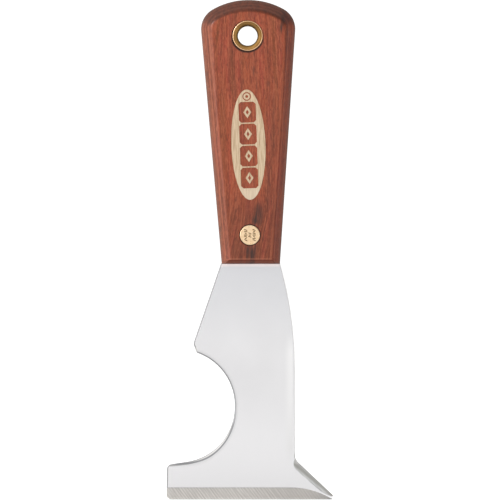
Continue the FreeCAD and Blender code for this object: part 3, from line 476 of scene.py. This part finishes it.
class Steel(Shader):
    """Polished steel, with the grinding wheel's slanting marks on its bevels."""

    def __init__(self):
        super().__init__("steel", {"Metallic": 1.0})
        self.normal = self.normal_parts()
        self.facing = self.size(self.normal[1])
        self.ground = self.ramp(self.facing, 0.9875, 0.96)
        self.to_right = self.ramp(self.normal[0], 0.1, 0.35)
        self.from_notch = self.minus(self.from_axis(NOTCH), NOTCH_RADIUS)

        sine, cosine = math.sin(GRINDING_SLANT), math.cos(GRINDING_SLANT)
        across = self.vector("DOT_PRODUCT", self.place, (sine, 0, cosine))
        along = self.vector("DOT_PRODUCT", self.place, (cosine, 0, -sine))
        wobble = self.ramp(self.noise((90, 90, 90), 2), 0.2, 0.8, -0.7, 0.7)
        turn = self.math("ADD", self.times(across, STRIPE_PITCH), wobble)
        self.stripe = self.math("MULTIPLY_ADD", self.math("SINE", turn), 0.5, 0.5)
        lined = self.combine(self.times(across, SCRATCHES_ACROSS),
                             self.times(along, SCRATCHES_ALONG))
        self.scratches = self.noise_at(lined, 5, 0.7)

    def face_colour(self):
        """The polished face: greyer near the handle, with a painted highlight towards the scraping
        edge, a painted pink reflection of the wood just below the heel, and a painted highlight
        strip by its right edge.
        """
        clouds = self.ramp(self.noise((26, 26, 18), 3), 0.3, 0.7)
        face = self.mix(clouds, srgb(232, 231, 232), srgb(238, 237, 238))
        for start, full, strength, shade in FACE_ZONES:
            share = self.ramp(self.z, start * MM, full * MM, 0, strength)
            face = self.layer(face, share, shade)
        limits = [self.ramp(value, start * MM, end * MM)
                  for value, pair in ((self.x, BESIDE_EDGE_X), (self.z, BESIDE_EDGE_Z))
                  for start, end in pair]
        return self.layer(face, self.times(*limits), (247, 246, 246))

    def edge_bevel_colour(self):
        """The scraping edge's bevel: striped, darker to the right and along its upper line."""
        bevel = self.mix(self.stripe, srgb(193, 190, 186), srgb(213, 209, 205))
        scratched = self.ramp(self.scratches, 0.35, 0.7, 0, 0.6)
        bevel = self.layer(bevel, scratched, (160, 156, 151))
        bevel = self.layer(bevel, self.ramp(self.x, -5 * MM, 20 * MM, 0, 0.5), (172, 168, 164))
        upper_line = self.near(self.z, BEVEL_TOP, 0.6 * MM, 0.1 * MM, 0.4)
        return self.layer(bevel, upper_line, (164, 165, 170))

    def point_colour(self):
        """The pointed corner's bevel, with a painted dark shade along a hollow that nears its outer
        side at the tip, a painted highlight on its inner side and a painted shade line. The blade's
        right-hand edge above it is bright with a painted highlight."""
        outer = (POINT_TIP - POINT_ROOT).normalized()
        from_root = self.vector("SUBTRACT", self.place, tuple(POINT_ROOT))
        inside = self.vector("DOT_PRODUCT", from_root, (outer.z, 0, -outer.x))
        beyond = self.vector("DOT_PRODUCT", from_root, tuple(outer))
        hollow = self.math("MULTIPLY_ADD", beyond, 0.07, inside)
        # Painted highlight on the bevel's inner side, painted shade towards its outer side
        inner_highlight = self.ramp(hollow, 1.7 * MM, 2.6 * MM)
        point = self.mix(inner_highlight, srgb(208, 207, 201), srgb(255, 255, 254))
        outer_side = self.ramp(hollow, 1.5 * MM, 0.7 * MM, 0, 0.8)
        point = self.layer(point, outer_side, (228, 227, 224))
        # Painted shade: a darker line along the bevel
        inner_shade_line = self.times(self.near(hollow, 3.1 * MM, 0.3 * MM, 0.1 * MM, 0.6),
                                self.ramp(beyond, 8 * MM, 11 * MM))
        point = self.layer(point, inner_shade_line, (190, 190, 190))
        scratched = self.ramp(self.scratches, 0.4, 0.7, 0, 0.35)
        point = self.layer(point, scratched, (186, 184, 180))
        at_root = self.ramp(beyond, 2.4 * MM, 0.4 * MM, 0, 0.5)
        point = self.layer(point, at_root, (186, 186, 184))
        # Painted highlight on the blade's right-hand edge above the bevel
        above_root_highlight = self.ramp(beyond, -1.0 * MM, -2.5 * MM)
        return self.layer(point, above_root_highlight, (255, 255, 254))

    def add_notch_bevel(self, bevel):
        """The notch's bevel, with a pale painted highlight on the round part and painted shade on
        the arm.
        """
        # Painted highlight on the upward bevel round the notch, painted shade where it runs along
        # the arm
        upward_highlight = self.times(self.ramp(self.normal[2], 0.2, 0.45),
                            self.ramp(self.from_notch, 2.2 * MM, 1.8 * MM))
        bevel = self.layer(bevel, upward_highlight, (228, 226, 224))
        arm_shade = self.times(upward_highlight, self.ramp(self.x, -18 * MM, -22 * MM, 0, 0.6))
        return self.layer(bevel, arm_shade, (170, 170, 170))

    def add_notch_lines(self, colour):
        """The dark line above the notch's bevel, with a soft shade, and the notch's own rim."""
        drop = self.minus(NOTCH.z, self.z)
        width = self.math("MULTIPLY_ADD", drop, NOTCH_BEVEL / NOTCH_RADIUS, 0.15 * MM)
        width = self.times(self.math("MAXIMUM", width, 0.2 * MM),
                           self.ramp(self.x, -25 * MM, -12 * MM, 0.42, 1))
        past_line = self.minus(self.from_notch, width)
        shade = self.times(self.ramp(past_line, 1.6 * MM, 0, 0, 0.2),
                           self.ramp(past_line, -0.2 * MM, 0))
        colour = self.layer(colour, shade, (150, 150, 154))
        line = self.near(past_line, 0, 0.45 * MM, 0.1 * MM, 0.9)
        colour = self.layer(colour, line, (146, 147, 150))
        rim = self.near(self.from_notch, 0, 0.4 * MM, 0.1 * MM, 0.5)
        return self.layer(colour, rim, (150, 150, 152))

    def add_rims(self, colour):
        """The blade's thin sides, with a painted highlight on the right-hand rounding and a painted
        dark shade along the left-hand ones.
        """
        rounded = self.ramp(self.facing, 0.05, 0.3)
        # Painted highlight on the right-hand rounding
        right_rim_highlight = self.mix(rounded, srgb(170, 170, 170), srgb(246, 246, 245))
        rims = self.mix(self.to_right, srgb(120, 119, 118), right_rim_highlight)
        colour = self.mix(self.ramp(self.facing, 0.78, 0.5), colour, rims)
        # Painted shade along the left-hand rounding
        left = self.times(self.ramp(self.normal[0], -0.06, -0.3),
                          self.ramp(self.from_notch, 1.4 * MM, 2.0 * MM), 0.9)
        return self.layer(colour, left, (120, 120, 122))

    def make(self):
        bevel = self.mix(self.to_right, self.edge_bevel_colour(), self.point_colour())
        bevel = self.add_notch_bevel(bevel)
        colour = self.mix(self.ground, self.face_colour(), bevel)
        colour = self.add_rims(self.add_notch_lines(colour))

        polish = self.noise((1800, 1800, 60), 4)
        roughness = self.ramp(polish, 0.3, 0.7, 0.28, 0.31)
        roughness = self.math("MULTIPLY_ADD", self.ground, 0.14, roughness)
        fine = self.bump(polish, 0.001 * MM, 0.1)
        marks = self.math("MULTIPLY_ADD", self.stripe, 0.5, self.scratches)
        marks = self.times(marks, self.ground)
        return self.finish(colour, roughness, self.bump(marks, 0.03 * MM, 0.5, fine))


# ---------------------------------------------------------------------------------------------
# Brass and foil

# From the eyelet's axis: where the bell starts inside its bright rim, and where it is full. Then
# the same of the bell's throat, where it turns down into the hole.
BELL = 5.48 * MM, 5.3 * MM
THROAT = 4.6 * MM, 3.9 * MM


def add_bell_with_painted_shade(s, colour):
    """The colour and the share of the eyelet's bell: a duller, darker bell and throat, with painted
    shade to the right and at the top.
    """
    reach = s.from_axis()
    bell = s.ramp(reach, *BELL)
    colour = s.layer(colour, bell, (174, 134, 78))
    colour = s.layer(colour, s.ramp(reach, *THROAT), (142, 112, 66))
    # Painted shade on the bell's right-hand side
    to_right = s.times(bell, s.ramp(s.x, 1.5 * MM, 4.5 * MM))
    colour = s.mix(to_right, colour, srgb(204, 200, 196), blend="MULTIPLY")
    # Painted shade at the bell's top
    high = s.times(bell, s.ramp(s.z, 1.6 * MM, 4.4 * MM, 0, 0.45))
    return s.layer(colour, high, (78, 54, 34)), bell


def make_brass(name, bright, dull, tarnish, roughness, painted_bell_shade=False):
    """Turned brass: fine rings from the lathe, with a little tarnish; when asked, the eyelet's bell
    is darker, with painted shade.
    """
    s = Shader(name, {"Metallic": 1.0})
    cloud = s.noise((700, 700, 700), 4)
    fine = s.noise((5000, 1500, 5000), 3)
    colour = s.mix(s.ramp(cloud, 0.3, 0.7), srgb(*bright), srgb(*dull))
    rough = s.ramp(cloud, 0.3, 0.7, roughness, roughness + 0.12)
    if painted_bell_shade:
        colour, bell = add_bell_with_painted_shade(s, colour)
        rough = s.math("MULTIPLY_ADD", bell, 0.22, rough)
    colour = s.layer(colour, s.ramp(fine, 0.55, 0.8, 0, 0.4), tarnish)
    return s.finish(colour, rough, s.bump(fine, 0.006 * MM, 0.4))


def make_foil():
    """Hot-stamped gold foil that lies in the wood's grain, palest at its lower end."""
    s = Shader("gold_foil", {"Metallic": 0.75})
    grain = s.noise((3200, 3200, 160), 4)
    specks = s.noise((4200, 4200, 4200), 2)
    colour = s.mix(s.ramp(grain, 0.36, 0.68), srgb(216, 194, 164), srgb(184, 156, 126))
    colour = s.layer(colour, s.ramp(s.z, -55 * MM, -60 * MM, 0, 0.5), (226, 210, 188))
    colour = s.layer(colour, s.ramp(specks, 0.6, 0.75, 0, 0.5), (176, 140, 100))
    return s.finish(colour, s.ramp(grain, 0.3, 0.7, 0.38, 0.5), s.bump(grain, 0.012 * MM, 0.5))


wood = Wood().make()
steel = Steel().make()
brass = make_brass("brass", (246, 206, 166), (232, 186, 140), (150, 110, 74), 0.3, painted_bell_shade=True)
pale_brass = make_brass("pale_brass", (248, 220, 182), (238, 204, 162), (196, 156, 114), 0.26)
stamped = make_brass("stamped_brass", (136, 108, 74), (112, 88, 60), (84, 62, 40), 0.45)
foil = make_foil()


def paint(piece, material):
    """Gives all of a piece one material."""
    piece.data.materials.clear()
    piece.data.materials.append(material)


for node, material in (
    ("blade", steel), ("front_scale", wood), ("rear_scale", wood), ("eyelet", brass),
    ("eyelet_washer", brass), ("rivet_pin", pale_brass),
):
    paint(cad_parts[node], material)

# ---------------------------------------------------------------------------------------------
# The foil mark, with the wood showing through its pattern

SEAL_CENTRE = (0, 18.4 * MM)  # across and along the oval
SEAL_RINGS = ((1.65, 32), (1.25, 32), (0.55, 16))  # radius in mm, and number of points
BLOCK_COUNT, FIRST_BLOCK, BLOCK_PITCH = 4, 12.4 * MM, 8.35 * MM
BLOCK_HALF_WIDTH, BLOCK_HALF_HEIGHT, BLOCK_CUT = 3.3 * MM, 3.95 * MM, 0.9 * MM
LOZENGES = ((1.5, 2.3), (0.6, 1.0))  # half width and half height in mm


def ring(centre, half_width, half_height, count):
    """A closed oval, or with few points a lozenge, about (across, along)."""
    turns = [2 * math.pi * index / count for index in range(count)]
    return [(centre[0] + half_width * math.cos(turn), centre[1] + half_height * math.sin(turn))
            for turn in turns]


def block(centre):
    """A closed oblong with cut corners."""
    w, h, cut = BLOCK_HALF_WIDTH, BLOCK_HALF_HEIGHT, BLOCK_CUT
    shape = [(w, -h + cut), (w, h - cut), (w - cut, h), (cut - w, h),
             (-w, h - cut), (-w, cut - h), (cut - w, -h), (w - cut, -h)]
    return [(centre[0] + x, centre[1] + z) for x, z in shape]


def foil_loops():
    """The oval's outline, and each outline inside it in turn."""
    loops = [ring((0, 0), FOIL_HALF_WIDTH, FOIL_HALF_LENGTH, 128)]
    loops += [ring(SEAL_CENTRE, radius * MM, radius * MM, count) for radius, count in SEAL_RINGS]
    for index in range(BLOCK_COUNT):
        centre = (0, FIRST_BLOCK - BLOCK_PITCH * index)
        loops.append(block(centre))
        loops += [ring(centre, width * MM, height * MM, 4) for width, height in LOZENGES]
    return loops


def make_foil_mark():
    curve = bpy.data.curves.new("foil_mark_outline", "CURVE")
    curve.dimensions = "2D"
    curve.fill_mode = "BOTH"
    curve.extrude = FOIL_THICKNESS / 2
    for loop in foil_loops():
        spline = curve.splines.new("POLY")
        spline.points.add(len(loop) - 1)
        for point, (across, along) in zip(spline.points, loop):
            point.co = (across, along, 0, 1)
        spline.use_cyclic_u = True
    source = link_new("foil_mark_source", curve)
    graph = bpy.context.evaluated_depsgraph_get()
    mesh = bpy.data.meshes.new_from_object(source.evaluated_get(graph))
    bpy.data.objects.remove(source)

    box_low, box_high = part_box("foil_mark")
    centre_y = (box_low.y + box_high.y) / 2
    lay = (Matrix.Translation((FOIL_CENTRE.x, centre_y, FOIL_CENTRE.z))
           @ Matrix.Rotation(math.atan(FACE_SLOPE), 4, "X")
           @ Matrix.Rotation(math.radians(90), 4, "X")
           @ Matrix.Rotation(FOIL_LEAN, 4, "Z"))
    mesh.transform(lay)
    piece = link_new("foil_pattern", mesh)
    paint(piece, foil)
    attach(piece, "root")
    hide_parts("foil_mark")


make_foil_mark()

# ---------------------------------------------------------------------------------------------
# The rivet's front head, with stamped ticks

TICK_COLUMN, TICK_ROW = 1.6 * MM, 0.64 * MM  # from one tick to the next
TICK_LONG, TICK_SHORT, TICK_HALF_HEIGHT = 0.6 * MM, 0.35 * MM, 0.18 * MM
TICK_DEPTH = 0.12 * MM
TICK_TURN = 0.35  # radians, on every other tick
STAMPED_RADIUS = 3.2 * MM  # the cut faces within it are the duller stamped brass
STAMPED_FROM, STAMPED_TO = 0.01 * MM, 0.2 * MM  # below the head's top


def add_box(mesh, centre, half, turn):
    """A box in a bmesh, turned about Y."""
    lay = (Matrix.Translation(centre) @ Matrix.Rotation(turn, 4, "Y")
           @ Matrix.Diagonal((2 * half[0], 2 * half[1], 2 * half[2], 1)))
    bmesh.ops.create_cube(mesh, size=1, matrix=lay)


def make_tick_cutter():
    """The boxes that stamp two full columns of ticks and a short one between them."""
    cutter = bmesh.new()
    for column in (-1, 0, 1):
        reach = 3 if column else 1
        for row in range(-reach, reach + 1):
            half_width = TICK_LONG if (row + column) % 3 else TICK_SHORT
            centre = RIVET + Vector((column * TICK_COLUMN, RIVET_TOP, row * TICK_ROW))
            turn = TICK_TURN * ((row + 2 * column) % 2)
            add_box(cutter, centre, (half_width, TICK_DEPTH, TICK_HALF_HEIGHT), turn)
    mesh = bpy.data.meshes.new("rivet_ticks")
    cutter.to_mesh(mesh)
    cutter.free()
    return link_new("rivet_ticks", mesh)


def make_rivet_head():
    cutter = make_tick_cutter()
    piece = link_new("stamped_rivet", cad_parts["rivet_socket"].data.copy())
    cut = piece.modifiers.new("stamp", "BOOLEAN")
    cut.operation, cut.solver, cut.object = "DIFFERENCE", "EXACT", cutter
    graph = bpy.context.evaluated_depsgraph_get()
    mesh = bpy.data.meshes.new_from_object(piece.evaluated_get(graph))
    piece.modifiers.clear()
    piece.data = mesh
    bpy.data.objects.remove(cutter)
    paint(piece, pale_brass)
    piece.data.materials.append(stamped)
    for face in piece.data.polygons:
        below_top = face.center.y - RIVET_TOP
        inside = (face.center - RIVET).xz.length < STAMPED_RADIUS
        if inside and STAMPED_FROM < below_top < STAMPED_TO:
            face.material_index = 1
    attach(piece, "root")
    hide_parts("rivet_socket")


make_rivet_head()

# ---------------------------------------------------------------------------------------------
# Floor

FLOOR_HALF = 8.0
FLOOR_GAP = 0.05 * MM  # below the scraping edge
# The grey in front of the object is painted shade on the floor
GREY_FROM = 0.004, -0.024  # where on Y the grey in front of the object starts and is full
GREY_REACH = 0.6, 0.1  # and how far from the middle it ends and is full


def grey(level):
    """A grey of a linear level."""
    return level, level, level, 1


def make_floor_material():
    """A pale floor that glows a little, and is a plain grey of painted shade, without glow, just in
    front of the object.
    """
    s = Shader("floor", {"Roughness": 0.8, "Emission Strength": 0.3})
    mottle = s.ramp(s.noise((6, 6, 6), 3), 0.3, 0.7)
    colour = s.mix(mottle, grey(0.93), grey(0.96))
    reach = s.vector("LENGTH", s.vector("MULTIPLY", s.place, (1, 1, 0)))
    # Painted shade: grey and without glow just in front of the object
    shade_in_front = s.times(s.ramp(s.y, *GREY_FROM), s.ramp(reach, *GREY_REACH))
    colour = s.mix(shade_in_front, colour, grey(0.6))
    s.feed(s.surface.inputs["Emission Color"], s.mix(shade_in_front, grey(1), grey(0)))
    return s.finish(colour)


def make_floor():
    level = cad_box[0].z - FLOOR_GAP
    corners = [(x * FLOOR_HALF, y * FLOOR_HALF, level)
               for x, y in ((-1, -1), (1, -1), (1, 1), (-1, 1))]
    mesh = bpy.data.meshes.new("floor")
    mesh.from_pydata(corners, [], [(0, 1, 2, 3)])
    floor = link_new("floor", mesh)
    paint(floor, make_floor_material())


make_floor()
